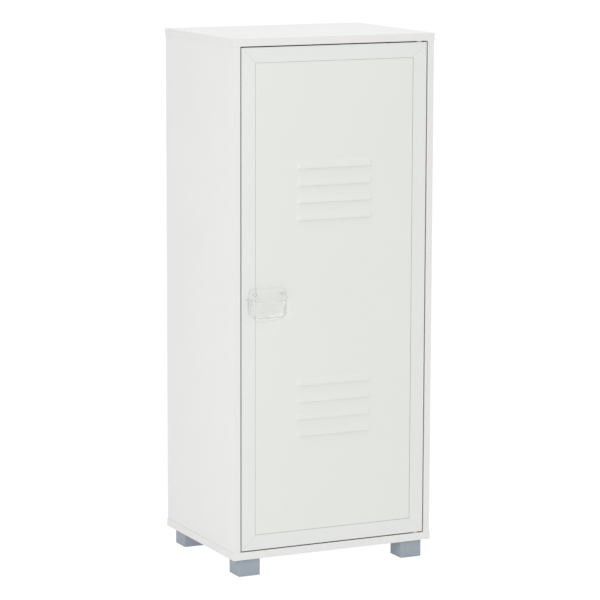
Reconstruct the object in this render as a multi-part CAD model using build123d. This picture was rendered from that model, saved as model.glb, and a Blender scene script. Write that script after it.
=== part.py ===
from build123d import *
import os

# Locker cabinet: a white board carcass on four square feet, closed by one mitred-frame
# door that turns on a pivot pin at its top and bottom right corner.
# Millimetres. +Z up, -Y is the front, +X is the hinge side.
# The origin is on the floor, under the centre of the whole object's box.

# --- carcass ---
carcass_width = 426.0        # top and bottom panels, end to end
carcass_depth = 324.0
carcass_height = 1000.0      # underside of the bottom panel to the top surface
board = 15.0                 # thickness of the top, the bottom and the shelves
side_board = 13.0            # thickness of the two sides
edging = 0.8                 # thickness of the strips on the boards' visible edges
side_inset = 1.6             # the sides stand this far inside the panel ends

back_board = 3.0
back_inset = 12.0            # rear face of the back board to the rear of the carcass
groove_depth = 6.0
groove_play = 0.3            # clearance of the back board in its groove

# --- shelves and their pins ---
shelf_count = 2
shelf_setback = 32.0         # front of a shelf behind the front of the carcass
shelf_play = 1.0             # each end, and behind the shelf
pin_radius = 2.5
pin_hole_depth = 9.0
pin_reach = 9.0              # how far the spoon of a pin stands out of the side
pin_spoon = (12.0, 2.4)      # width and thickness of the spoon
pin_step = 32.0              # spacing of the three heights for each shelf
pin_margin = 40.0            # pins from the front and rear edges of a shelf
hole_play = 0.05             # radial clearance of pins and screws in their holes
past = 1.0                   # how far a cutting shape runs past the face that it opens

# --- knock-down fittings ---
cam_radius = 7.5
cam_height = 10.0
cam_distance = 34.0          # centre of the cam from the joint
cam_bolt_radius = 2.5
cam_bolt_head = (3.4, 3.0)   # radius and length
cam_bolt_thread = (3.0, 10.0)
fitting_play = 0.2           # clearance round cams, bolts, dowels and screw heads
dowel_radius = 3.0
dowel_in_panel = 10.0
dowel_in_side = 20.0
dowel_chamfer = 0.8
fitting_margin = 45.0        # cams from the front and rear of the carcass
dowel_spacing = 32.0         # dowel to its cam

# --- feet ---
foot_size = 45.0
foot_height = 35.0
foot_wall = 3.0
foot_end_inset = 15.0        # from the ends of the bottom panel
foot_edge_inset = 9.0        # from its front and rear edges
foot_screw_spacing = 22.0
foot_tower_radius = 6.0
foot_counterbore = (4.6, 20.0)
foot_round = 2.0             # upright arrises of a foot
foot_chamfer = 0.8           # round its underside
foot_neck = (1.5, 3.0)       # how far its top is set in, and over what height
foot_screw_radius = 1.75
foot_screw_in_panel = 11.0
pan_head = 2.4               # height of a pan head
recess_depth = 1.2           # depth of the cross in a screw head
recess_arm = 0.55            # reach of the cross, as a share of the head's radius
recess_slot = 0.13           # half width of the cross, as a share of the head's radius

# --- door ---
door_gap = 2.2               # all round the door
door_thickness = 15.0
door_recess = 1.0            # door face behind the carcass front
frame_face = 29.0            # flat front of a frame member
frame_round = 0.4            # rounding of the outer arrises
sheet = 1.2                  # pressed steel sheet
field_step = 0.3             # field of the sheet below the frame's face
field_gap = 0.5              # open line between the frame and the field
flange_step = 1.3            # edge flange of the sheet below the frame's face
sheet_groove = 8.0           # depth of the groove that holds the flange
sheet_play = 0.2
key_leg = 32.0               # corner keys hidden in the mitres
key_width = 10.0
key_thickness = 3.0
key_offset = 13.0
key_depth = 8.0              # front face of a key behind the frame's face
key_play = 0.1

# --- louvres pressed out of the sheet ---
louvre_count = 4             # in each group
louvre_length = 162.0
louvre_height = 16.0
louvre_proud = 2.1
louvre_pitch = 33.0
louvre_swell = (0.62, 0.55)  # where a hood's curve passes, as shares of its depth and height
louvre_group_heights = (232.0, 651.0)   # lowest lip of each group above the carcass base

# --- pivots ---
hinge_inset = 14.0           # pivot axis from the hinge edge of the door
pivot_radius = 2.5
pivot_in_door = 9.0
pivot_in_bush = 8.0
pivot_end_room = 1.0         # bore beyond the end of the pin
pivot_play = 0.05            # radial clearance of the pin in its bush
pivot_float = 0.2            # washer to flange
pivot_chamfer = 0.5
bush_radius = 4.0
bush_length = 10.0
flange_radius = 6.0
flange_thickness = 1.0
washer_radius = 6.0

# --- handle ---
handle_centre = 70.0         # from the left end of the bottom panel
handle_bottom = 461.0        # lowest point of the cup above the carcass base
handle_rim = 47.0            # rim above that point
handle_top = 64.0            # top of the plate above that point
handle_half = 40.0           # half width of the cup
handle_proud = 23.0          # cup in front of the door's frame
handle_wall = 2.4
handle_round = 22.0          # rounding of the cup's front
handle_sagitta = 19.0        # how far the bottom of the cup bows down
handle_rim_dip = 6.0         # the rim falls this much towards the front
handle_ear = (3.0, 8.0, 4.5) # ears at the ends of the rim: reach, depth and height
plate_half = 38.0
plate_round = 9.0
boss_offset = 28.0
boss_height = 55.0
boss_radius = 4.5
boss_proud = 5.0
boss_end_wall = 1.0
handle_screw_radius = 2.0

# --- magnetic catch on the left side and its strike plate on the door ---
catch_height = 500.0         # above the carcass base
catch_size = (18.0, 18.0, 46.0)
catch_gap = 0.3              # poles to strike plate, door shut
magnet_size = (8.0, 13.0, 18.0)
pole_thickness = 1.2
pole_proud = 1.0
strike_size = (12.0, 1.2, 40.0)
strike_margin = 2.0          # strike plate from the free edge of the door
small_screw_radius = 1.5
small_screw_length = 11.0
small_screw_head = (3.0, 1.6)
catch_round = 3.0
catch_ear = 5.0              # housing under a screw head
screw_share = 0.36           # screws from the middle, as a share of the plate's or housing's height
strike_round = 2.0

# --- worked out from the sizes above ---
half_width = carcass_width / 2
front = -(carcass_depth + handle_proud - door_recess) / 2 + handle_proud - door_recess
rear = front + carcass_depth
base = foot_height
crown = base + carcass_height
side_low = base + board
side_high = crown - board
side_outer = half_width - side_inset
side_inner = side_outer - side_board
back_front = rear - back_inset - back_board
door_front = front + door_recess
door_back = door_front + door_thickness
door_half = side_inner - door_gap
door_low = side_low + door_gap
door_high = side_high - door_gap
pivot_x = door_half - hinge_inset
pivot_y = door_front + door_thickness / 2
field_front = door_front + field_step
flange_front = door_front + flange_step
shelf_front = front + shelf_setback
shelf_rear = back_front - shelf_play
shelf_space = (side_high - side_low - shelf_count * board) / (shelf_count + 1)
shelf_floors = [side_low + (i + 1) * shelf_space + i * board for i in range(shelf_count)]
foot_x = half_width - foot_end_inset - foot_size / 2
foot_front_y = front + foot_edge_inset + foot_size / 2
foot_rear_y = rear - foot_edge_inset - foot_size / 2
cam_rows = (front + fitting_margin, rear - fitting_margin)
dowel_rows = (cam_rows[0] + dowel_spacing, cam_rows[1] - dowel_spacing)
pin_rows = (shelf_front + pin_margin, shelf_rear - pin_margin)
side_middle = side_inner + side_board / 2
handle_x = handle_centre - half_width
handle_z = base + handle_bottom
catch_z = base + catch_height


# --- simple shapes ---
def block(x0, x1, y0, y1, z0, z1):
    """A box between two corners given in any order."""
    middle = ((x0 + x1) / 2, (y0 + y1) / 2, (z0 + z1) / 2)
    return Pos(*middle) * Box(abs(x1 - x0), abs(y1 - y0), abs(z1 - z0))


def post(radius, x, y, z0, z1):
    """A vertical cylinder between two heights."""
    return Pos(x, y, (z0 + z1) / 2) * Cylinder(radius, abs(z1 - z0))


def bar_x(radius, x0, x1, y, z):
    """A cylinder along X."""
    return Pos((x0 + x1) / 2, y, z) * Rot(0, 90, 0) * Cylinder(radius, abs(x1 - x0))


def bar_y(radius, x, y0, y1, z):
    """A cylinder along Y."""
    return Pos(x, (y0 + y1) / 2, z) * Rot(90, 0, 0) * Cylinder(radius, abs(y1 - y0))


def cross(head_radius, depth):
    """The cross recess of a screw head, from z = 0 upwards."""
    arm = head_radius * recess_arm
    slot = head_radius * recess_slot
    return block(-arm, arm, -slot, slot, 0, depth) + block(-slot, slot, -arm, arm, 0, depth)


def pan_screw(shank_radius, length, head_radius):
    """A pan-head screw: head below z = 0, shank along +Z."""
    whole = post(head_radius, 0, 0, -pan_head, 0) + post(shank_radius, 0, 0, 0, length)
    return whole - Pos(0, 0, -pan_head) * cross(head_radius, recess_depth)


def screw(shank_radius, length, head_radius, head_height):
    """A countersunk screw: head top at the origin, shank along +Z."""
    head = Pos(0, 0, head_height / 2) * Cone(head_radius, shank_radius, head_height)
    return head + post(shank_radius, 0, 0, 0, length) - cross(head_radius, head_height / 2)


def sink(shank_radius, length, head_radius, head_height):
    """The hole that such a screw sits in."""
    head = Pos(0, 0, head_height / 2) * Cone(head_radius, shank_radius, head_height)
    return head + post(shank_radius, 0, 0, 0, length)


def group(shapes):
    """Separate solids kept together in one node."""
    return Compound(children=[s for shape in shapes for s in shape.solids()])


# --- carcass boards ---
def back_groove(play):
    """The space that the back board takes in the four boards round it."""
    reach = groove_depth - (groove_play if play == 0 else 0)
    return block(-side_inner - reach, side_inner + reach,
                 back_front - play, back_front + back_board + play,
                 side_low - reach, side_high + reach)


def joint_cuts(top):
    """Holes for the cams, their bolts and the dowels at one end of both sides."""
    joint = side_high if top else side_low
    inward = -1 if top else 1
    cuts = []
    for x in (-side_middle, side_middle):
        outward = 1 if x > 0 else -1
        face = outward * side_inner
        for y in cam_rows:
            cam_z = joint + inward * cam_distance
            deep = face + outward * (cam_height + fitting_play)
            cuts.append(bar_x(cam_radius + fitting_play, face, deep, y, cam_z))
            head_room = cam_z + inward * cam_bolt_head[0]
            cuts.append(post(cam_bolt_head[0] + fitting_play, x, y, joint, head_room))
            cuts.append(post(cam_bolt_thread[0], x, y, joint, joint - inward * cam_bolt_thread[1]))
        for y in dowel_rows:
            cuts.append(post(dowel_radius, x, y, joint + inward * (dowel_in_side + fitting_play),
                             joint - inward * (dowel_in_panel + fitting_play)))
    return cuts


def pin_places():
    """Every shelf-pin hole: side, row, height and whether a pin is in it."""
    places = []
    for outward in (-1, 1):
        for y in pin_rows:
            for floor in shelf_floors:
                for step in (-1, 0, 1):
                    z = floor - pin_radius + step * pin_step
                    places.append((outward, y, z, step == 0))
    return places


def horizontal_panel(top):
    """The top or the bottom board, grooved and drilled on its inner face."""
    low = side_high if top else base
    panel = block(-half_width + edging, half_width - edging, front + edging, rear, low, low + board)
    panel -= back_groove(groove_play)
    for cut in joint_cuts(top):
        panel -= cut
    face = side_high if top else side_low
    inward = 1 if top else -1
    panel -= post(bush_radius, pivot_x, pivot_y, face, face + inward * bush_length)
    if not top:
        for x, y in foot_places():
            for offset in (-foot_screw_spacing / 2, foot_screw_spacing / 2):
                panel -= post(foot_screw_radius, x + offset, y, base, base + foot_screw_in_panel)
    return panel


def side_panel(outward):
    """One side board: -1 for the left one, 1 for the right one."""
    panel = block(outward * side_inner, outward * side_outer, front + edging, rear, side_low, side_high)
    panel -= back_groove(groove_play)
    for top in (False, True):
        for cut in joint_cuts(top):
            panel -= cut
    for side, y, z, _ in pin_places():
        if side == outward:
            face = outward * side_inner
            deep = face + outward * (pin_hole_depth + fitting_play)
            panel -= bar_x(pin_radius + hole_play, face, deep, y, z)
    if outward < 0:
        tip = -side_inner - small_screw_length
        for z in screw_heights(catch_size[2]):
            panel -= bar_x(small_screw_radius, -side_inner, tip, catch_screw_y(), z)
    return panel


def shelf(floor):
    """One loose shelf without its front strip."""
    end = side_inner - shelf_play
    return block(-end, end, shelf_front + edging, shelf_rear, floor, floor + board)


def front_strip(x0, x1, z0, z1, y=front):
    """An edging strip on a board's front edge."""
    return block(x0, x1, y, y + edging, z0, z1)


def end_strips(low):
    """The two strips on the ends of the top or bottom board."""
    ends = []
    for outward in (-1, 1):
        end = outward * half_width
        ends.append(block(end, end - outward * edging, front + edging, rear, low, low + board))
    return group(ends)


# --- fittings of the carcass ---
def cam_lock(outward, y, joint, inward):
    """A cam drum in the inner face of a side, open towards the joint for the bolt's head."""
    face = outward * side_inner
    cam_z = joint + inward * cam_distance
    drum = bar_x(cam_radius, face, face + outward * cam_height, y, cam_z)
    reach = cam_bolt_head[0] + fitting_play
    x = outward * side_middle
    drum -= block(x - reach, x + reach, y - reach, y + reach,
                  cam_z - inward * reach, cam_z - inward * 2 * cam_radius)
    drum -= block(x - reach, x + reach, y - reach, y + reach, cam_z - reach, cam_z + reach)
    return drum - Pos(face, y, cam_z) * Rot(0, 90 * outward, 0) * cross(cam_radius, recess_depth)


def cam_bolt(outward, y, joint, inward):
    """A bolt screwed into the panel, its head held by the cam in the side."""
    x = outward * side_middle
    head_far = joint + inward * (cam_distance + cam_bolt_head[0] - fitting_play)
    head_near = head_far - inward * cam_bolt_head[1]
    bolt = post(cam_bolt_thread[0], x, y, joint, joint - inward * cam_bolt_thread[1])
    bolt += post(cam_bolt_radius, x, y, joint, head_near)
    bolt += post(cam_bolt_head[0], x, y, head_near, head_far)
    return bolt


def fittings(make, rows):
    """One fitting at each row of each of the four joints between boards."""
    made = []
    for outward in (-1, 1):
        for joint, inward in ((side_low, 1), (side_high, -1)):
            for y in rows:
                made.append(make(outward, y, joint, inward))
    return group(made)


def dowel(outward, y, joint, inward):
    """A beech dowel across a joint."""
    rod = post(dowel_radius, outward * side_middle, y,
               joint + inward * dowel_in_side, joint - inward * dowel_in_panel)
    return chamfer(rod.edges().filter_by(GeomType.CIRCLE), dowel_chamfer)


def shelf_pin(outward, y, z):
    """A spoon pin: round in the side, flat on top under the shelf."""
    face = outward * side_inner
    tip = face - outward * pin_reach
    pin = bar_x(pin_radius, tip, face + outward * pin_hole_depth, y, z)
    wide, thick = pin_spoon
    top = z + pin_radius
    pin += block(face, tip, y - wide / 2, y + wide / 2, top, top - thick)
    return pin


def foot_places():
    """Centres of the four feet."""
    return [(x, y) for y in (foot_front_y, foot_rear_y) for x in (-foot_x, foot_x)]


def foot(x, y):
    """A hollow square foot, open on top, with two screw towers."""
    half = foot_size / 2
    outer = block(x - half, x + half, y - half, y + half, 0, foot_height)
    outer = fillet(outer.edges().filter_by(Axis.Z), foot_round)
    outer = chamfer(outer.faces().sort_by(Axis.Z)[0].edges(), foot_chamfer)
    set_in, neck = foot_neck
    waist = half - set_in
    collar = block(x - half, x + half, y - half, y + half, foot_height - neck, foot_height)
    outer -= collar - block(x - waist, x + waist, y - waist, y + waist, foot_height - neck, foot_height)
    inner = half - foot_wall
    outer -= block(x - inner, x + inner, y - inner, y + inner, foot_wall, foot_height)
    bore, depth = foot_counterbore
    for offset in (-foot_screw_spacing / 2, foot_screw_spacing / 2):
        outer += post(foot_tower_radius, x + offset, y, foot_wall, foot_height)
    for offset in (-foot_screw_spacing / 2, foot_screw_spacing / 2):
        outer -= post(bore, x + offset, y, 0, depth)
        outer -= post(foot_screw_radius + hole_play, x + offset, y, depth, foot_height)
    return outer


def foot_screw(x, y):
    """A pan-head screw up through a foot into the bottom board."""
    bore, depth = foot_counterbore
    length = foot_height - depth + foot_screw_in_panel
    return Pos(x, y, depth) * pan_screw(foot_screw_radius, length, bore - 2 * fitting_play)


# --- door ---
def frame_member(length):
    """A mitred bar along X: outer edge at z = 0, front at y = 0, groove on the inside."""
    section = Polyline(
        (0, 0), (0, frame_face), (flange_step, frame_face), (flange_step, frame_face - sheet_groove),
        (flange_step + sheet + sheet_play, frame_face - sheet_groove),
        (flange_step + sheet + sheet_play, frame_face), (door_thickness, frame_face),
        (door_thickness, 0), close=True)
    bar = Pos(-length / 2, 0, 0) * extrude(Plane.YZ * make_face(section), length)
    outer = bar.edges().filter_by(Axis.X).group_by(Axis.Z)[0]
    bar = fillet(outer, frame_round)
    half = length / 2
    mitre = Polyline((-half, 0), (half, 0), (half - frame_face, frame_face),
                     (-half + frame_face, frame_face), close=True)
    prism = Pos(0, door_thickness, 0) * extrude(Plane.XZ * make_face(mitre), door_thickness)
    return bar & prism


def corner_key(play):
    """The flat L of a corner key, from the outer corner of the door at the origin."""
    low = key_offset - play
    wide = key_offset + key_width + play
    long = key_leg + play
    y0 = key_depth - play
    y1 = key_depth + key_thickness + play
    return block(low, long, y0, y1, low, wide) + block(low, wide, y0, y1, low, long)


def at_corners(shape):
    """The shape turned into each corner of the door."""
    turned = []
    for x, z, angle in ((-door_half, door_low, 0), (-door_half, door_high, 90),
                        (door_half, door_high, 180), (door_half, door_low, 270)):
        turned.append(Pos(x, door_front, z) * Rot(0, angle, 0) * shape)
    return turned


def door_member(side):
    """A frame member in its place, with its share of the key slots and screw holes."""
    wide = 2 * door_half
    tall = door_high - door_low
    middle = (door_low + door_high) / 2
    place = {"bottom": (wide, Pos(0, door_front, door_low)),
             "top": (wide, Pos(0, door_front, door_high) * Rot(0, 180, 0)),
             "left": (tall, Pos(-door_half, door_front, middle) * Rot(0, 90, 0)),
             "right": (tall, Pos(door_half, door_front, middle) * Rot(0, -90, 0))}
    length, where = place[side]
    member = where * frame_member(length)
    for slot in at_corners(corner_key(key_play)):
        member -= slot
    if side == "top":
        member -= post(pivot_radius, pivot_x, pivot_y, door_high, door_high - pivot_in_door)
    if side == "bottom":
        member -= post(pivot_radius, pivot_x, pivot_y, door_low, door_low + pivot_in_door)
    if side == "left":
        member -= bar_y(handle_screw_radius + hole_play, handle_x - boss_offset,
                        door_front, door_back, boss_z())
        for z in screw_heights(strike_size[2]):
            member -= bar_y(small_screw_radius, strike_x(), door_back, door_back - small_screw_length, z)
    return member


def louvre(trim, behind):
    """A hood with its lip at z = 0, smaller by trim, and running on behind the sheet's face."""
    radius = louvre_height - trim
    proud = louvre_proud - trim
    straight = louvre_length - 2 * louvre_height
    swell = (-proud * louvre_swell[0], radius * louvre_swell[1])
    outline = ThreePointArc((0, radius), swell, (-proud, 0)) + Line((-proud, 0), (behind, 0))
    outline += Line((behind, 0), (behind, radius)) + Line((behind, radius), (0, radius))
    side = make_face(outline)
    hood = Pos(-straight / 2, 0, 0) * extrude(Plane.YZ * side, straight)
    dome = revolve(Plane.YZ * side, Axis.Y, 360) & block(-radius, radius, -proud, behind, 0, radius)
    for x in (-straight / 2, straight / 2):
        hood += Pos(x, 0, 0) * dome
    return hood


def louvre_lips():
    """Heights of the louvre lips."""
    return [base + low + i * louvre_pitch for low in louvre_group_heights for i in range(louvre_count)]


def sheet_part(edge, front, thickness):
    """A flat part of the sheet whose outline runs that far inside the edges of the door."""
    return block(-door_half + edge, door_half - edge, front, front + thickness,
                 door_low + edge, door_high - edge)


def door_sheet():
    """The pressed sheet: a set-back flange, and a field with hollow hoods open below their lips."""
    panel = sheet_part(frame_face - sheet_groove + sheet_play, flange_front, sheet)
    panel += sheet_part(frame_face + field_gap, field_front, flange_step - field_step + sheet)
    panel -= sheet_part(frame_face + field_gap + sheet, field_front + sheet, sheet + past)
    outer = louvre(0, sheet)
    hollow = louvre(sheet, sheet + past)
    for z in louvre_lips():
        panel += Pos(0, field_front, z) * outer
    for z in louvre_lips():
        panel -= Pos(0, field_front, z) * hollow
    for side in (-boss_offset, boss_offset):
        panel -= bar_y(handle_screw_radius + hole_play, handle_x + side,
                       field_front - past, flange_front + sheet + past, boss_z())
    return panel


# --- pivots ---
def pivot_pin(top):
    """A steel pin pressed into the door and standing out into the bush."""
    edge = door_high if top else door_low
    outward = 1 if top else -1
    face = side_high if top else side_low
    pin = post(pivot_radius, pivot_x, pivot_y,
               edge - outward * pivot_in_door, face + outward * pivot_in_bush)
    return chamfer(pin.edges().filter_by(GeomType.CIRCLE), pivot_chamfer)


def pivot_bush(top):
    """A flanged nylon bush in the top or bottom board."""
    face = side_high if top else side_low
    outward = 1 if top else -1
    bush = post(bush_radius, pivot_x, pivot_y, face, face + outward * bush_length)
    bush += post(flange_radius, pivot_x, pivot_y, face, face - outward * flange_thickness)
    bore_end = face + outward * (pivot_in_bush + pivot_end_room)
    return bush - post(pivot_radius + pivot_play, pivot_x, pivot_y,
                       face - outward * flange_thickness, bore_end)


def pivot_washer(top):
    """The spacer on the pin that fills the gap between door and flange."""
    edge = door_high if top else door_low
    outward = 1 if top else -1
    thick = door_gap - flange_thickness - pivot_float
    washer = post(washer_radius, pivot_x, pivot_y, edge, edge + outward * thick)
    return washer - post(pivot_radius, pivot_x, pivot_y, edge, edge + outward * thick)


# --- handle ---
def boss_z():
    """Height of the two screw bosses."""
    return handle_z + boss_height


def cup(inset, top):
    """The cup's outer shape, or its hollow when inset by the wall."""
    half = handle_half - inset
    corner = handle_sagitta
    outline = make_face(ThreePointArc((-half, corner + inset), (0, inset), (half, corner + inset))
                        + Line((half, corner + inset), (half, top))
                        + Line((half, top), (-half, top))
                        + Line((-half, top), (-half, corner + inset)))
    face_view = extrude(Plane.XZ * outline, handle_proud - inset)
    rounding = handle_round - inset
    depth = handle_proud - inset
    plan = Pos(0, -depth / 2, top / 2) * Box(2 * half, depth, top)
    plan = fillet(plan.edges().filter_by(Axis.Z).group_by(Axis.Y)[0], rounding)
    side = Pos(0, -depth / 2, (top + inset) / 2) * Box(2 * half, depth, top - inset)
    side = fillet(side.edges().filter_by(Axis.X).group_by(Axis.Y)[0].sort_by(Axis.Z)[0], rounding)
    return face_view & plan & side


def door_handle():
    """A clear moulded cup with a back plate, open at the top for the fingers."""
    plate = Pos(0, -handle_wall / 2, (handle_top + handle_sagitta) / 2) * Box(
        2 * plate_half, handle_wall, handle_top - handle_sagitta)
    plate = fillet(plate.edges().filter_by(Axis.Y).group_by(Axis.Z)[-1], plate_round)
    hull = cup(0, handle_rim)
    rim_cut = Polyline((0, handle_rim), (-handle_proud, handle_rim - handle_rim_dip),
                       (-handle_proud, handle_rim + past), (0, handle_rim + past), close=True)
    reach, deep, tall = handle_ear
    wide = handle_half + reach
    for side in (-1, 1):
        hull += block(side * (handle_half - handle_wall), side * wide, 0, -deep, handle_rim - tall, handle_rim)
    hull -= Pos(-wide, 0, 0) * extrude(Plane.YZ * make_face(rim_cut), 2 * wide)
    hollow = cup(handle_wall, handle_rim + past) - Box(4 * handle_half, 2 * handle_wall, 4 * handle_top)
    body = hull - hollow + plate
    for x in (-boss_offset, boss_offset):
        body += bar_y(boss_radius, x, 0, -handle_wall - boss_proud, boss_height)
    body += bar_y(boss_radius, boss_offset, 0, field_step, boss_height)
    for x in (-boss_offset, boss_offset):
        deep = handle_wall + boss_proud - boss_end_wall
        body -= bar_y(handle_screw_radius, x, field_step, -deep, boss_height)
    return Pos(handle_x, door_front, handle_z) * body


def handle_screw(x, seat):
    """A pan-head screw from behind the door into a boss of the handle."""
    tip = door_front - handle_wall - boss_proud + boss_end_wall + fitting_play
    body = pan_screw(handle_screw_radius, seat - tip, 2 * handle_screw_radius)
    return Pos(x, seat, boss_z()) * Rot(90, 0, 0) * body


# --- catch ---
def catch_front():
    """Front of the catch housing; the poles stand out of it to meet the strike plate."""
    return door_back + strike_size[1] + catch_gap + pole_proud


def catch_centre():
    """Middle of the magnet across the cabinet."""
    return -side_inner + catch_size[0] / 2


def screw_heights(tall):
    """Heights of the two screws of the catch or of the strike plate."""
    return (catch_z - tall * screw_share, catch_z + tall * screw_share)


def catch_screw_y():
    """How far back the catch's screws are."""
    return catch_front() + catch_size[1] / 2


def catch_housing():
    """A moulded housing screwed to the left side, with a pocket for the magnet."""
    wide, deep, tall = catch_size
    y0 = catch_front()
    body = block(-side_inner, -side_inner + wide, y0, y0 + deep, catch_z - tall / 2, catch_z + tall / 2)
    body = fillet(body.edges().filter_by(Axis.Y).group_by(Axis.X)[-1], catch_round)
    half = magnet_size[0] / 2 + pole_thickness
    x = catch_centre()
    body -= block(x - half, x + half, y0, y0 + magnet_size[1] - pole_proud,
                  catch_z - magnet_size[2] / 2, catch_z + magnet_size[2] / 2)
    head_radius, head_height = small_screw_head
    for z in screw_heights(catch_size[2]):
        seat = -side_inner + catch_ear
        body -= bar_x(head_radius + 2 * fitting_play, seat, -side_inner + wide, catch_screw_y(), z)
        hole = sink(small_screw_radius, wide, head_radius, head_height)
        body -= Pos(seat, catch_screw_y(), z) * Rot(0, -90, 0) * hole
    return body


def catch_screw(z):
    """A screw through the housing into the left side."""
    head_radius, head_height = small_screw_head
    length = catch_ear + small_screw_length
    body = screw(small_screw_radius, length, head_radius, head_height)
    return Pos(-side_inner + catch_ear, catch_screw_y(), z) * Rot(0, -90, 0) * body


def catch_block(x0, x1, proud):
    """A part of the magnet pack between two places across the pocket."""
    y0 = catch_front()
    depth = magnet_size[1] - pole_proud
    return block(x0, x1, y0 - proud, y0 + depth,
                 catch_z - magnet_size[2] / 2, catch_z + magnet_size[2] / 2)


def catch_magnet():
    """The ferrite block between the poles."""
    half = magnet_size[0] / 2
    return catch_block(catch_centre() - half, catch_centre() + half, 0)


def catch_poles():
    """Two steel plates that carry the pull to the strike plate."""
    half = magnet_size[0] / 2
    plates = []
    for side in (-1, 1):
        near = catch_centre() + side * half
        plates.append(catch_block(near, near + side * pole_thickness, pole_proud))
    return group(plates)


def strike_x():
    """Middle of the strike plate across the door."""
    return -door_half + strike_margin + strike_size[0] / 2


def strike_plate():
    """A small steel plate on the back of the left stile."""
    wide, thick, tall = strike_size
    x = strike_x()
    plate = block(x - wide / 2, x + wide / 2, door_back, door_back + thick,
                  catch_z - tall / 2, catch_z + tall / 2)
    plate = fillet(plate.edges().filter_by(Axis.Y), strike_round)
    for z in screw_heights(strike_size[2]):
        hole = sink(small_screw_radius, small_screw_length, small_screw_head[0], thick)
        plate -= Pos(x, door_back + thick, z) * Rot(90, 0, 0) * hole
    return plate


def strike_screw(z):
    """A screw through the strike plate into the left stile."""
    thick = strike_size[1]
    body = screw(small_screw_radius, small_screw_length + thick, small_screw_head[0], thick)
    return Pos(strike_x(), door_back + thick, z) * Rot(90, 0, 0) * body


# --- the nodes ---
shelf_end = side_inner - shelf_play
nodes = {
    "top_panel": horizontal_panel(True),
    "bottom_panel": horizontal_panel(False),
    "side_panel_left": side_panel(-1),
    "side_panel_right": side_panel(1),
    "back_panel": back_groove(0),
    "edging_top_front": front_strip(-half_width, half_width, side_high, crown),
    "edging_top_ends": end_strips(side_high),
    "edging_bottom_front": front_strip(-half_width, half_width, base, side_low),
    "edging_bottom_ends": end_strips(base),
    "edging_side_left": front_strip(-side_outer, -side_inner, side_low, side_high),
    "edging_side_right": front_strip(side_inner, side_outer, side_low, side_high),
    "edging_shelves": group([front_strip(-shelf_end, shelf_end, z, z + board, shelf_front)
                             for z in shelf_floors]),
    "shelf_pins": group([shelf_pin(side, y, z) for side, y, z, used in pin_places() if used]),
    "cam_locks": fittings(cam_lock, cam_rows),
    "cam_bolts": fittings(cam_bolt, cam_rows),
    "dowels": fittings(dowel, dowel_rows),
    "foot_screws": group([foot_screw(x + offset, y) for x, y in foot_places()
                          for offset in (-foot_screw_spacing / 2, foot_screw_spacing / 2)]),
    "pivot_bush_top": pivot_bush(True),
    "pivot_bush_bottom": pivot_bush(False),
    "catch_housing": catch_housing(),
    "catch_magnet": catch_magnet(),
    "catch_poles": catch_poles(),
    "catch_screws": group([catch_screw(z) for z in screw_heights(catch_size[2])]),
    "door_rail_top": door_member("top"),
    "door_rail_bottom": door_member("bottom"),
    "door_stile_left": door_member("left"),
    "door_stile_right": door_member("right"),
    "door_sheet": door_sheet(),
    "corner_keys": group(at_corners(corner_key(0))),
    "door_handle": door_handle(),
    "handle_screw_long": handle_screw(handle_x - boss_offset, door_back),
    "handle_screw_short": handle_screw(handle_x + boss_offset, field_front + sheet),
    "pivot_pin_top": pivot_pin(True),
    "pivot_pin_bottom": pivot_pin(False),
    "pivot_washer_top": pivot_washer(True),
    "pivot_washer_bottom": pivot_washer(False),
    "strike_plate": strike_plate(),
    "strike_screws": group([strike_screw(z) for z in screw_heights(strike_size[2])]),
}
for name, floor in zip(("shelf_lower", "shelf_upper"), shelf_floors):
    nodes[name] = shelf(floor)
foot_names = ("foot_front_left", "foot_front_right", "foot_rear_left", "foot_rear_right")
for name, (x, y) in zip(foot_names, foot_places()):
    nodes[name] = foot(x, y)

os.makedirs("parts", exist_ok=True)
for name, shape in nodes.items():
    export_step(shape, f"parts/{name}.step")
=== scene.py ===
from math import copysign, cos, hypot, pi, radians, sin

import bmesh
import bpy
from mathutils import Matrix, Vector


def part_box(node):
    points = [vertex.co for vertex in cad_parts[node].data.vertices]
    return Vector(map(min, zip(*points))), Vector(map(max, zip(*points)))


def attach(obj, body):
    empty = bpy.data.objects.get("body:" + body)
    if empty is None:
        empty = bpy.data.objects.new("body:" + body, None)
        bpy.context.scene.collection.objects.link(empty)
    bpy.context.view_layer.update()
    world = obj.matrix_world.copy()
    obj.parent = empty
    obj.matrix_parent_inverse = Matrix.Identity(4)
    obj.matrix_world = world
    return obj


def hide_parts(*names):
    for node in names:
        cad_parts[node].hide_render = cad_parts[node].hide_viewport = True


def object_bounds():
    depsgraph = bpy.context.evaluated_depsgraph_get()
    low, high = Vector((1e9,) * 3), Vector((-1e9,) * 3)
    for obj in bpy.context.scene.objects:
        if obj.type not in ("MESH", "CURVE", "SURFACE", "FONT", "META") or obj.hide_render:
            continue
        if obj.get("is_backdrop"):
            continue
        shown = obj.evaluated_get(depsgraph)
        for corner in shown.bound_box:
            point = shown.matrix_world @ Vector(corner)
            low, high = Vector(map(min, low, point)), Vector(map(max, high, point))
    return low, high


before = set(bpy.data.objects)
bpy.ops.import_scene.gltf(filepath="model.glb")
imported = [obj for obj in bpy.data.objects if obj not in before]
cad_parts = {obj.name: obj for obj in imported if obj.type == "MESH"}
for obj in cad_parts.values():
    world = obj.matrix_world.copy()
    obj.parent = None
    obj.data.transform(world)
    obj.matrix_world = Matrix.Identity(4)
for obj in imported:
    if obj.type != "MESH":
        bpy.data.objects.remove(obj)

cad_low, cad_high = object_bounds()

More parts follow.
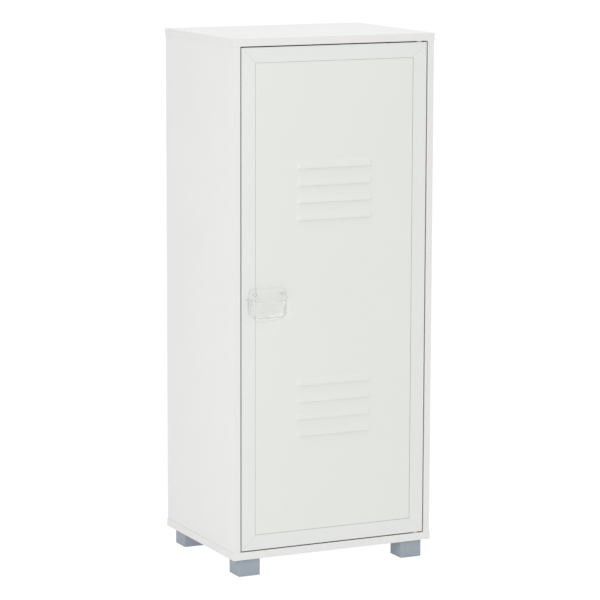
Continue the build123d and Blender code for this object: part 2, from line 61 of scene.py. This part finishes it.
# ---------------------------------------------------------------- camera and studio
# A long lens, set higher than the cabinet's top, looks down at its left front corner.
# A white floor and an even white surround carry most of the light, with a soft lamp far
# round to the left and a wider one overhead.
look_turn = radians(25.755)
look_down = radians(9.208)
look_roll = radians(0.172)
look_distance = 5.5825
aim_from_left = 0.13939
aim_height = 0.53312
look_at = Vector((cad_low.x + aim_from_left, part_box("edging_top_front")[0].y, aim_height))

view_axis = Vector((sin(look_turn) * cos(look_down), cos(look_turn) * cos(look_down),
                    -sin(look_down)))
camera = bpy.data.objects.new("camera", bpy.data.cameras.new("camera"))
camera.data.sensor_width = 36.0
camera.data.lens = 175.36
camera.data.clip_end = 60.0
camera.matrix_world = (Matrix.Translation(look_at - look_distance * view_axis)
                       @ Matrix.Rotation(-look_turn, 4, "Z")
                       @ Matrix.Rotation(pi / 2 - look_down, 4, "X")
                       @ Matrix.Rotation(look_roll, 4, "Z"))
bpy.context.scene.collection.objects.link(camera)
bpy.context.scene.camera = camera
bpy.context.scene.view_settings.view_transform = "Standard"


def lamp(name, place, width, power):
    """A square soft lamp that faces the middle of the cabinet."""
    made = bpy.data.objects.new(name, bpy.data.lights.new(name, "AREA"))
    made.data.size = width
    made.data.energy = power
    away = Vector(place) - (cad_low + cad_high) / 2
    turn = away.to_track_quat("Z", "Y").to_matrix().to_4x4()
    made.matrix_world = Matrix.Translation(place) @ turn
    bpy.context.scene.collection.objects.link(made)


lamp("side_lamp", (-2.1, -1.75, 1.2), width=1.2, power=15.2)
lamp("top_lamp", (0.3, -0.3, 3.4), width=2.0, power=26.0)


def node(tree, kind, inputs=None, **settings):
    """Adds one shader node with its settings, values and links."""
    made = tree.nodes.new("ShaderNode" + kind)
    for name, value in settings.items():
        setattr(made, name, value)
    for name, value in (inputs or {}).items():
        if isinstance(value, bpy.types.NodeSocket):
            tree.links.new(value, made.inputs[name])
        else:
            made.inputs[name].default_value = value
    return made


def when_seen(tree, lighting, seen):
    """One value for the light that a surface gives and another for how it is seen."""
    seen_ray = node(tree, "LightPath").outputs["Is Camera Ray"]
    return node(tree, "MapRange", {"Value": seen_ray, "To Min": lighting, "To Max": seen}).outputs[0]


surround = bpy.data.worlds.new("white_surround")
surround.use_nodes = True
tree = surround.node_tree
tree.nodes.clear()
strength = when_seen(tree, lighting=0.68, seen=1.0)
glow = node(tree, "Background", {"Color": (1, 1, 1, 1), "Strength": strength})
node(tree, "OutputWorld", {"Surface": glow.outputs[0]})
bpy.context.scene.world = surround

floor_finish = bpy.data.materials.new("white_studio_floor")
floor_finish.use_nodes = True
tree = floor_finish.node_tree
tree.nodes.clear()
matt = node(tree, "BsdfDiffuse", {"Color": (0.93, 0.93, 0.93, 1)})
bright = node(tree, "Emission", {"Color": (1, 1, 1, 1), "Strength": 1.05})
share = when_seen(tree, lighting=0.22, seen=0.96)
mixed = node(tree, "MixShader", {0: share, 1: matt.outputs[0], 2: bright.outputs[0]})
node(tree, "OutputMaterial", {"Surface": mixed.outputs[0]})

floor = bpy.data.objects.new("floor", bpy.data.meshes.new("floor"))
bm = bmesh.new()
bmesh.ops.create_grid(bm, x_segments=1, y_segments=1, size=30.0)
bm.to_mesh(floor.data)
bm.free()
floor.data.materials.append(floor_finish)
bpy.context.scene.collection.objects.link(floor)
floor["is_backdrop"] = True

# ---------------------------------------------------------------- carcass boards
# Four boards of chipboard faced with white melamine paper, 15 mm thick at the top and the
# bottom and 13 mm at the sides. They are sawn to size, grooved for the back and drilled, so
# their rear edges show the brown chips of the core.
def linear(code):
    """An sRGB hex colour as the linear RGBA that shaders take."""
    channels = [int(code[i:i + 2], 16) / 255 for i in (1, 3, 5)]
    return (*[c / 12.92 if c <= 0.04045 else ((c + 0.055) / 1.055) ** 2.4 for c in channels], 1.0)


def finish(name, **sockets):
    """A new material, its shader node and its tree, with uniform values on the shader itself."""
    made = bpy.data.materials.new(name)
    made.use_nodes = True
    tree = made.node_tree
    shader = tree.nodes["Principled BSDF"]
    for socket, value in sockets.items():
        shader.inputs[socket.replace("_", " ")].default_value = value
    return made, tree, shader


def object_place(tree):
    """Coordinates in metres on the object."""
    return node(tree, "TexCoord").outputs["Object"]


def grain(tree, size, detail=2.0, stretch=None):
    """Noise whose grains are about that many metres across, from 0 to 1."""
    place = object_place(tree)
    if stretch:
        place = node(tree, "Mapping", {"Vector": place, "Scale": stretch}).outputs[0]
    return node(tree, "TexNoise", {"Vector": place, "Scale": 1 / size, "Detail": detail}).outputs["Fac"]


def ramp(tree, value, low, high, to_low, to_high):
    """The value's part between low and high, spread from to_low to to_high."""
    return node(tree, "MapRange", {"Value": value, "From Min": low, "From Max": high,
                                   "To Min": to_low, "To Max": to_high}).outputs[0]


def blend(tree, share, first, second):
    """A colour between two, by share; either may be a socket or a hex code."""
    sides = [linear(side) if isinstance(side, str) else side for side in (first, second)]
    return node(tree, "MixRGB", {"Fac": share, "Color1": sides[0], "Color2": sides[1]}).outputs[0]


def dent(tree, shader, height, depth, strength=1.0):
    """Bump from a height of 0 to 1 that stands for depth metres."""
    bump = node(tree, "Bump", {"Height": height, "Distance": depth, "Strength": strength})
    tree.links.new(bump.outputs[0], shader.inputs["Normal"])


def cover(tree, shader, colour, grains, smooth, rough, depth):
    """A colour, with a roughness from smooth to rough and a bump that follow the same grains."""
    tree.links.new(colour, shader.inputs["Base Color"])
    tree.links.new(ramp(tree, grains, 0.3, 0.7, smooth, rough), shader.inputs["Roughness"])
    dent(tree, shader, grains, depth)


def arris(tree, width):
    """1 on the sharp edges of a piece and 0 on its flats, over about that many metres."""
    turned = node(tree, "Bevel", {"Radius": width}, samples=4).outputs[0]
    straight = node(tree, "NewGeometry").outputs["Normal"]
    same = node(tree, "VectorMath", {0: turned, 1: straight}, operation="DOT_PRODUCT")
    on_flat, on_edge = 0.999, 0.93
    return ramp(tree, same.outputs["Value"], on_flat, on_edge, 0.0, 1.0)


def chipboard(tree):
    """Colour of a sawn chipboard core: pale flakes in darker glue."""
    flake_size, glue_size = 0.0026, 0.0012
    flakes = node(tree, "TexVoronoi", {"Vector": object_place(tree), "Scale": 1 / flake_size})
    tone = node(tree, "SeparateColor", {"Color": flakes.outputs["Color"]}).outputs["Red"]
    wood = blend(tree, tone, "#B0905F", "#D9C49A")
    glued = ramp(tree, grain(tree, glue_size, 4.0), 0.35, 0.5, 0.0, 1.0)
    return blend(tree, glued, "#8C6C45", wood)


def melamine(name, cut):
    """White melamine paper on chipboard; cut is a socket, 1 where the core is laid open."""
    made, tree, shader = finish(name, IOR=1.5)
    # the paper has a fine pearl pressed in by the platen: 0.8 mm grains, drawn 2.5 mm wide so
    # that they still show as a soft sheen from across a room
    pearl = grain(tree, 0.0025, 2.0)
    cloud = grain(tree, 0.12, 3.0)
    white = blend(tree, cloud, "#EFEFEE", "#F3F3F2")
    white = blend(tree, arris(tree, 0.0012), white, "#E9E8E4")
    open_core = cut(tree)
    tree.links.new(blend(tree, open_core, white, chipboard(tree)), shader.inputs["Base Color"])
    gloss = ramp(tree, pearl, 0.3, 0.7, 0.42, 0.52)
    rough = node(tree, "Mix", {0: open_core, 2: gloss, 3: 0.9}, data_type="FLOAT").outputs[0]
    tree.links.new(rough, shader.inputs["Roughness"])
    dent(tree, shader, pearl, 0.00004)
    return made


def beyond(axis, limit):
    """A cut test: 1 past that place on an axis."""
    def test(tree):
        parts = node(tree, "SeparateXYZ", {"Vector": object_place(tree)}).outputs
        return node(tree, "Math", {0: parts[axis], 1: limit}, operation="GREATER_THAN").outputs[0]
    return test


def show(name, mesh, body, material, smooth=50.0):
    """Makes a mesh into a shown piece that rides on its body."""
    for face in mesh.polygons:
        face.use_smooth = True
    mesh.set_sharp_from_angle(angle=radians(smooth))
    made = bpy.data.objects.new(name, mesh)
    mesh.materials.clear()
    mesh.materials.append(material)
    made.modifiers.new("even_normals", "WEIGHTED_NORMAL").keep_sharp = True
    bpy.context.scene.collection.objects.link(made)
    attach(made, body)
    return made


def softened(name, body, material, edge, steps=2, shortest=0.004):
    """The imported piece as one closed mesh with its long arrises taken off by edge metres."""
    bm = bmesh.new()
    bm.from_mesh(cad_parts[name].data)
    bmesh.ops.remove_doubles(bm, verts=bm.verts, dist=0.00001)
    bmesh.ops.dissolve_limit(bm, angle_limit=radians(1), verts=bm.verts, edges=bm.edges)
    sharp = [e for e in bm.edges if len(e.link_faces) == 2 and e.is_convex
             and e.calc_length() > shortest and e.calc_face_angle() > radians(50)]
    bmesh.ops.bevel(bm, geom=sharp, offset=edge, segments=steps, affect="EDGES",
                    profile=0.5, material=-1)
    mesh = bpy.data.meshes.new(name + "_piece")
    bm.to_mesh(mesh)
    bm.free()
    made = show(name + "_piece", mesh, body, material)
    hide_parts(name)
    return made


board_edge = 0.0003
rear_face = cad_high.y - 0.0002
board_finish = melamine("white_melamine_on_chipboard", beyond(1, rear_face))
for name in ("top_panel", "bottom_panel", "side_panel_left", "side_panel_right"):
    softened(name, "cabinet", board_finish, board_edge)

# ---------------------------------------------------------------- edging strips
# White ABS strip 0.8 mm thick, glued on hot and scraped flush, with its outer arris rounded
# by a cutter. It is a little smoother and whiter than the paper on the boards.
abs_finish, tree, shader = finish("white_abs_edging", IOR=1.53)
streak = grain(tree, 0.004, 2.0, stretch=(1, 1, 0.1))
white = blend(tree, streak, "#EDEDEB", "#F1F1EF")
colour = blend(tree, arris(tree, 0.0012), white, "#F5F5F3")
cover(tree, shader, colour, streak, smooth=0.34, rough=0.44, depth=0.00003)
for name in ("edging_top_front", "edging_top_ends", "edging_bottom_front", "edging_bottom_ends",
             "edging_side_left", "edging_side_right", "edging_shelves"):
    softened(name, "cabinet", abs_finish, board_edge)

# ---------------------------------------------------------------- cams, bolts and dowels
# Each joint between boards is drawn together by two cast zinc cams that grip the heads of
# plated steel bolts, and kept in line by two fluted beech dowels.


def dress(name, material):
    """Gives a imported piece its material; its shape stays."""
    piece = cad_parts[name]
    piece.data.materials.clear()
    piece.data.materials.append(material)


cast_zinc, tree, shader = finish("die_cast_zinc", Metallic=1.0)
skin = grain(tree, 0.0006, 4.0)
tone = blend(tree, skin, "#A7A9AA", "#C3C5C6")
colour = blend(tree, arris(tree, 0.0006), tone, "#DADBDB")
cover(tree, shader, colour, skin, smooth=0.38, rough=0.55, depth=0.00006)
dress("cam_locks", cast_zinc)

zinc_plate, tree, shader = finish("bright_zinc_plated_steel", Metallic=1.0)
film = grain(tree, 0.002, 3.0)
tone = blend(tree, film, "#B9BCC2", "#D2D3D2")
tree.links.new(blend(tree, arris(tree, 0.0004), tone, "#E6E6E4"), shader.inputs["Base Color"])
tree.links.new(ramp(tree, film, 0.3, 0.7, 0.22, 0.36), shader.inputs["Roughness"])
dent(tree, shader, grain(tree, 0.0004, 2.0), 0.00002)
for name in ("cam_bolts", "foot_screws", "catch_screws", "catch_poles",
             "strike_plate", "strike_screws"):
    dress(name, zinc_plate)

beech, tree, shader = finish("beech_dowel_rod")
fibre = grain(tree, 0.0016, 4.0, stretch=(1, 1, 0.08))
fleck = ramp(tree, grain(tree, 0.0007, 2.0, stretch=(1, 1, 0.25)), 0.62, 0.7, 0.0, 0.6)
wood = blend(tree, fibre, "#C99C6C", "#E0BC8F")
colour = blend(tree, fleck, wood, "#9A6B42")
cover(tree, shader, colour, fibre, smooth=0.55, rough=0.72, depth=0.00008)
dress("dowels", beech)

# ---------------------------------------------------------------- back panel
# A 3 mm hardboard sheet slid into the grooves. Its inner face is rolled with white lacquer,
# and its rear face is bare brown fibre with the mesh of the press.
hardboard, tree, shader = finish("hardboard_lacquered_inside")
side = node(tree, "SeparateXYZ", {"Vector": node(tree, "NewGeometry").outputs["Normal"]}).outputs["Y"]
bare = node(tree, "Math", {0: side, 1: -0.5}, operation="GREATER_THAN").outputs[0]
mesh_size = 0.0035  # the press screen's wires are 1.5 mm apart, drawn coarser so that they show
wave_step = 0.314   # metres between bands of a wave texture at a scale of 1
weave = [node(tree, "TexWave", {"Vector": object_place(tree), "Scale": wave_step / mesh_size},
              bands_direction=way).outputs["Fac"] for way in ("X", "Z")]
press = node(tree, "Math", {0: weave[0], 1: weave[1]}, operation="MULTIPLY").outputs[0]
fibres = grain(tree, 0.006, 6.0)
brown = blend(tree, ramp(tree, fibres, 0.3, 0.7, 0.0, 1.0), "#96724A", "#B48F62")
brown = blend(tree, ramp(tree, press, 0.0, 1.0, 0.25, 0.0), brown, "#7A5933")
lacquer = blend(tree, grain(tree, 0.1, 2.0), "#ECECEA", "#F0F0EE")
tree.links.new(blend(tree, bare, lacquer, brown), shader.inputs["Base Color"])
tree.links.new(ramp(tree, fibres, 0.3, 0.7, 0.62, 0.8), shader.inputs["Roughness"])
dent(tree, shader, press, 0.0001, 0.6)
dress("back_panel", hardboard)

# ---------------------------------------------------------------- feet
# Four square feet moulded in blue-grey polypropylene, hollow above, each held by two screws
# up through its towers, and set in a little at its neck under the board. The mould's sides
# are spark-eroded, which gives a fine matt grain.
foot_finish, tree, shader = finish("grey_moulded_polypropylene", IOR=1.49)
spark = grain(tree, 0.0012, 3.0)
tone = blend(tree, grain(tree, 0.02, 2.0), "#A2ABB5", "#A9B2BC")
colour = blend(tree, arris(tree, 0.0015), tone, "#ADB6BF")
cover(tree, shader, colour, spark, smooth=0.46, rough=0.6, depth=0.00006)
for name in ("foot_front_left", "foot_front_right", "foot_rear_left", "foot_rear_right"):
    softened(name, "cabinet", foot_finish, edge=0.0004)

# ---------------------------------------------------------------- shelves
# Two loose boards of the same melamine, 15 mm thick and edged only in front. Each lies on
# four plated steel pins pushed into the sides, and its other three edges are left sawn.
skin_deep = 0.0001
shelf_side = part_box("edging_shelves")[1].x - skin_deep
shelf_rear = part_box("shelf_lower")[1].y - skin_deep


def shelf_cut(tree):
    """1 on the sawn ends and rear edge of a shelf."""
    parts = node(tree, "SeparateXYZ", {"Vector": object_place(tree)}).outputs
    wide = node(tree, "Math", {0: parts[0]}, operation="ABSOLUTE").outputs[0]
    ends = node(tree, "Math", {0: wide, 1: shelf_side}, operation="GREATER_THAN").outputs[0]
    back = node(tree, "Math", {0: parts[1], 1: shelf_rear}, operation="GREATER_THAN").outputs[0]
    return node(tree, "Math", {0: ends, 1: back}, operation="MAXIMUM").outputs[0]


shelf_finish = melamine("white_melamine_shelf", shelf_cut)
for name in ("shelf_lower", "shelf_upper"):
    softened(name, "cabinet", shelf_finish, board_edge)
dress("shelf_pins", zinc_plate)

# ---------------------------------------------------------------- magnetic catch
# A white nylon housing screwed to the left side, with a sintered ferrite block between two
# plated steel poles that reach out to the plate on the door.
catch_finish, tree, shader = finish("white_moulded_nylon", IOR=1.53)
skin = grain(tree, 0.001, 2.0)
tone = blend(tree, grain(tree, 0.01, 2.0), "#E9E7E0", "#F0EEE8")
colour = blend(tree, arris(tree, 0.001), tone, "#F8F7F3")
cover(tree, shader, colour, skin, smooth=0.4, rough=0.52, depth=0.00003)
for name in ("catch_housing", "pivot_bush_top", "pivot_bush_bottom",
             "pivot_washer_top", "pivot_washer_bottom"):
    dress(name, catch_finish)

ferrite, tree, shader = finish("sintered_ferrite", IOR=2.2)
pores = grain(tree, 0.0005, 5.0)
colour = blend(tree, pores, "#2B2C2E", "#45474A")
cover(tree, shader, colour, pores, smooth=0.5, rough=0.75, depth=0.00008)
dress("catch_magnet", ferrite)

# ---------------------------------------------------------------- door frame
# Four flat bars of foil-wrapped moulding, mitred and held by hidden corner keys, with a groove
# on the inside for the sheet. Their side faces, at the gaps round the door and in the groove, are
# painted grey as painted shade.
rail_low, rail_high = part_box("door_rail_top")
door_low = Vector((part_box("door_stile_left")[0].x, rail_low.y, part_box("door_rail_bottom")[0].z))
door_high = Vector((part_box("door_stile_right")[1].x, rail_high.y, rail_high.z))
door_middle = (door_low + door_high) / 2
bar_width = rail_high.z - rail_low.z
front_round = 0.0004
rear_round = 0.0006
flange_drop = 0.0013
sheet_thick = 0.0012
sheet_play = 0.0002
groove_deep = 0.008
mitre_ease = 0.0004
mitre_open = 0.00008  # half of the hairline that the foil leaves in each mitre
on_line = 1e-6  # how near a point has to be to count as on a line

foil, tree, shader = finish("white_foil_on_moulding", IOR=1.5)
cloud = grain(tree, 0.15, 3.0)
skin = grain(tree, 0.0022, 2.0)
white = blend(tree, cloud, "#EAECE9", "#EEF0ED")
facing = node(tree, "SeparateXYZ", {"Vector": node(tree, "NewGeometry").outputs["Normal"]}).outputs["Y"]
across = node(tree, "Math", {0: facing}, operation="ABSOLUTE").outputs[0]
# painted shade: faces turned away from the front and back are blended to dark grey, so the gaps round
# the door and the groove look shaded
painted_gap_shade = ramp(tree, across, 0.5, 0.3, 0.0, 1.0)
colour = blend(tree, painted_gap_shade, white, "#8E908E")
cover(tree, shader, colour, skin, smooth=0.36, rough=0.46, depth=0.00003)


def frame_bar(name, length, turn, middle):
    """One mitred bar: drawn along X with its outer edge at z = 0, then turned into place."""
    thick = door_high.y - door_low.y
    bm = bmesh.new()
    groove_back = flange_drop + sheet_thick + sheet_play
    groove_floor = bar_width - groove_deep
    outline = [(0, 0), (0, bar_width), (flange_drop, bar_width), (flange_drop, groove_floor),
               (groove_back, groove_floor), (groove_back, bar_width), (thick, bar_width), (thick, 0)]
    end = bm.faces.new([bm.verts.new((-length / 2, y, z)) for y, z in outline])
    grown = bmesh.ops.extrude_face_region(bm, geom=[end])["geom"]
    far_end = [v for v in grown if isinstance(v, bmesh.types.BMVert)]
    bmesh.ops.translate(bm, verts=far_end, vec=(length, 0, 0))
    bmesh.ops.recalc_face_normals(bm, faces=bm.faces)
    # the roundings of the moulding: front arrises, then those at the back
    for places, radius, steps in (([(0, 0), (0, bar_width)], front_round, 3),
                                  ([(thick, 0), (thick, bar_width)], rear_round, 2)):
        long_edges = [e for e in bm.edges if e.calc_length() > length / 2
                      and any(hypot(e.verts[0].co.y - y, e.verts[0].co.z - z) < on_line
                              for y, z in places)]
        bmesh.ops.bevel(bm, geom=long_edges, offset=radius, segments=steps, affect="EDGES",
                        profile=0.5, material=-1)
    for way in (-1, 1):
        corner = (way * (length / 2 - mitre_open), 0, 0)
        cut = bmesh.ops.bisect_plane(bm, geom=bm.verts[:] + bm.edges[:] + bm.faces[:],
                                     plane_co=corner, plane_no=(way, 0, 1),
                                     clear_outer=True)["geom_cut"]
        rim = [e for e in cut if isinstance(e, bmesh.types.BMEdge)]
        filled = bmesh.ops.contextual_create(bm, geom=rim)["faces"]
        front_rim = [e for f in filled for e in f.edges
                     if max(v.co.y for v in e.verts) < flange_drop / 2
                     and e.calc_length() > bar_width / 2]
        bmesh.ops.bevel(bm, geom=front_rim, offset=mitre_ease, segments=1, affect="EDGES",
                        profile=0.5, material=-1)
    bmesh.ops.recalc_face_normals(bm, faces=bm.faces)
    bmesh.ops.transform(bm, verts=bm.verts,
                        matrix=Matrix.Translation(middle) @ Matrix.Rotation(turn, 4, "Y"))
    mesh = bpy.data.meshes.new(name + "_piece")
    bm.to_mesh(mesh)
    bm.free()
    made = show(name + "_piece", mesh, "door", foil, smooth=40.0)
    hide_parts(name)


wide = door_high.x - door_low.x
tall = door_high.z - door_low.z
frame_bar("door_rail_bottom", wide, 0.0, (door_middle.x, door_low.y, door_low.z))
frame_bar("door_rail_top", wide, pi, (door_middle.x, door_low.y, door_high.z))
frame_bar("door_stile_left", tall, pi / 2, (door_low.x, door_low.y, door_middle.z))
frame_bar("door_stile_right", tall, -pi / 2, (door_high.x, door_low.y, door_middle.z))

key_finish, tree, shader = finish("black_moulded_nylon", IOR=1.53)
skin = grain(tree, 0.001, 2.0)
colour = blend(tree, skin, "#2A2B2D", "#37383A")
cover(tree, shader, colour, skin, smooth=0.45, rough=0.6, depth=0.00004)
dress("corner_keys", key_finish)

# ---------------------------------------------------------------- louvred sheet
# One sheet of 1.2 mm steel with two groups of four louvres lanced and pressed out of it in a
# single stroke, then powder-coated a faintly warm white. Its field is pressed forward almost to
# the frame's face, so that only a fine line shows between them, and its flange is in the grooves.
louvre_length = 0.162
louvre_height = 0.016
louvre_proud = 0.0021
louvre_end = 0.008
louvre_pitch = 0.033
louvre_count = 4
louvre_lows = (0.267, 0.686)
hood_rows = 10
hood_end_columns = 13
field_drop = 0.0003
field_gap = 0.0005
field_front = door_low.y + field_drop
fold_round = 0.0003
near_middle = 0.001

powder, tree, shader = finish("white_powder_coated_steel", IOR=1.5)
peel = grain(tree, 0.003, 2.0)
cloud = grain(tree, 0.2, 3.0)
white = blend(tree, cloud, "#EAECE7", "#EEF0EC")
colour = blend(tree, arris(tree, 0.0007), white, "#F2F3EF")
cover(tree, shader, colour, peel, smooth=0.40, rough=0.50, depth=0.00005)


def cut_at(bm, faces, place, normal):
    """Cuts those faces along a plane and returns the faces that are there afterwards."""
    edges = {e for f in faces for e in f.edges}
    verts = {v for f in faces for v in f.verts}
    made = bmesh.ops.bisect_plane(bm, geom=[*verts, *edges, *faces],
                                  plane_co=place, plane_no=normal)
    return [f for f in made["geom"] if isinstance(f, bmesh.types.BMFace)]


def in_band(face, lip):
    """Whether a face is level with the hood above that lip."""
    return abs(face.calc_center_median().z - lip - louvre_height / 2) < near_middle


def hood_height(x, z):
    """How far a hood stands out at a place measured from the middle of its lip."""
    beside = max(abs(x) - (louvre_length / 2 - louvre_end), 0.0)
    share = hypot(beside / louvre_end, z / louvre_height)
    return louvre_proud * max(1.0 - share ** 2, 0.0) ** 1.5


def on_outline(vert, axis):
    """1 or -1 where a point lies on the field's outline across that axis, else 0."""
    reach = vert.co[axis] - door_middle[axis]
    return copysign(1.0, reach) if abs(abs(reach) - field_half[axis]) < on_line else 0.0


field_half = (door_high - door_low) / 2 - Vector((1, 0, 1)) * (bar_width + field_gap)
bm = bmesh.new()
corners = [(door_middle.x + field_half.x * x, door_middle.z + field_half.z * z)
           for x, z in ((-1, -1), (1, -1), (1, 1), (-1, 1))]
bm.faces.new([bm.verts.new((x, field_front, z)) for x, z in corners])
lips = [low + i * louvre_pitch for low in louvre_lows for i in range(louvre_count)]
half = louvre_length / 2
for lip in lips:
    for height in (lip, lip + louvre_height):
        cut_at(bm, bm.faces[:], (0, 0, height), (0, 0, 1))
for x in (-half, half):
    for lip in lips:
        band = [f for f in bm.faces if in_band(f, lip)]
        cut_at(bm, band, (x, 0, 0), (1, 0, 0))
patches = [f for f in bm.faces if abs(f.calc_center_median().x) < near_middle
           and f.calc_area() < louvre_length * louvre_height * 1.1
           and any(in_band(f, lip) for lip in lips)]
straight = half - louvre_end
for patch in patches:
    low = min(v.co.z for v in patch.verts)
    faces = [patch]
    for i in range(1, hood_rows):
        faces = cut_at(bm, faces, (0, 0, low + louvre_height * i / hood_rows), (0, 0, 1))
    for side in (-1, 1):
        for i in range(hood_end_columns):
            out = straight + louvre_end * i / hood_end_columns
            faces = cut_at(bm, faces, (side * out, 0, 0), (1, 0, 0))
lip_edges = [e for e in bm.edges
             if all(any(abs(v.co.z - lip) < on_line for lip in lips) for v in e.verts)
             and all(abs(v.co.x) < half + on_line for v in e.verts)]
bmesh.ops.split_edges(bm, edges=lip_edges)
for vert in bm.verts:
    for lip in lips:
        above = [f for f in vert.link_faces if f.calc_center_median().z > vert.co.z]
        if above and -on_line < vert.co.z - lip < louvre_height and abs(vert.co.x) < half:
            vert.co.y -= hood_height(vert.co.x, vert.co.z - lip)
# the field's edge turns back to the flange, which runs out into the grooves
flange_wide = door_low.x + bar_width + field_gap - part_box("door_sheet")[0].x
edge = [e for e in bm.edges if any(all(on_outline(v, axis) for v in e.verts) for axis in (0, 2))]
folds = edge[:]
for back, out in ((flange_drop - field_drop, 0.0), (0.0, flange_wide)):
    grown = bmesh.ops.extrude_edge_only(bm, edges=edge)["geom"]
    for vert in [v for v in grown if isinstance(v, bmesh.types.BMVert)]:
        vert.co += Vector((on_outline(vert, 0) * out, back, on_outline(vert, 2) * out))
    edge = [e for e in grown if isinstance(e, bmesh.types.BMEdge) and e.is_boundary]
bmesh.ops.bevel(bm, geom=folds, offset=fold_round, segments=2, affect="EDGES",
                profile=0.5, material=-1)
bmesh.ops.recalc_face_normals(bm, faces=bm.faces)
if max(bm.faces, key=lambda f: f.calc_area()).normal.y > 0:
    bmesh.ops.reverse_faces(bm, faces=bm.faces)
bmesh.ops.solidify(bm, geom=bm.faces[:], thickness=sheet_thick)
mesh = bpy.data.meshes.new("door_sheet_piece")
bm.to_mesh(mesh)
bm.free()
sheet = show("door_sheet_piece", mesh, "door", powder, smooth=40.0)
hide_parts("door_sheet")

# ---------------------------------------------------------------- pivots
# The door turns on two turned steel pins, pressed into its top and bottom rails near the
# right. They run in flanged nylon bushes let into the boards, with a washer on each.
for name in ("pivot_pin_top", "pivot_pin_bottom"):
    dress(name, zinc_plate)

# ---------------------------------------------------------------- handle
# A cup moulded in clear polycarbonate, open at the top for the fingers, with a thin plate
# behind it and two bosses for the natural nylon screws that come through the door.
air_gap = 0.00005
screw_reach = 0.0022
screw_ease = 0.03
clear, tree, shader = finish("clear_polycarbonate", IOR=1.58, Transmission_Weight=1.0,
                             Base_Color=(1.0, 1.0, 1.0, 1.0))
# thin clear plastic hides little behind it where it is seen face on, and shows at its rims
edge_on = node(tree, "LayerWeight", {"Blend": 0.5}).outputs["Facing"]
tree.links.new(ramp(tree, edge_on, 0.25, 0.7, 0.2, 1.0), shader.inputs["Alpha"])
dent(tree, shader, grain(tree, 0.02, 1.0), 0.00004)
tree.links.new(ramp(tree, grain(tree, 0.006, 2.0), 0.3, 0.7, 0.02, 0.05), shader.inputs["Roughness"])
handle = softened("door_handle", "door", clear, edge=0.0005, steps=3)
handle.visible_shadow = False  # clear plastic lets the lamps through to the door behind it
# the plate rests on the frame's face, and the screws in their bosses, with a hair of air between
handle_screws = ("handle_screw_long", "handle_screw_short")
screw_places = [sum(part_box(name), Vector()) / 2 for name in handle_screws]
for vert in handle.data.vertices:
    vert.co.y -= air_gap
    for place in screw_places:
        across = Vector((vert.co.x - place.x, 0.0, vert.co.z - place.z))
        if across.length < screw_reach:
            vert.co += screw_ease * across
for name in handle_screws:
    dress(name, catch_finish)

low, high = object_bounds()
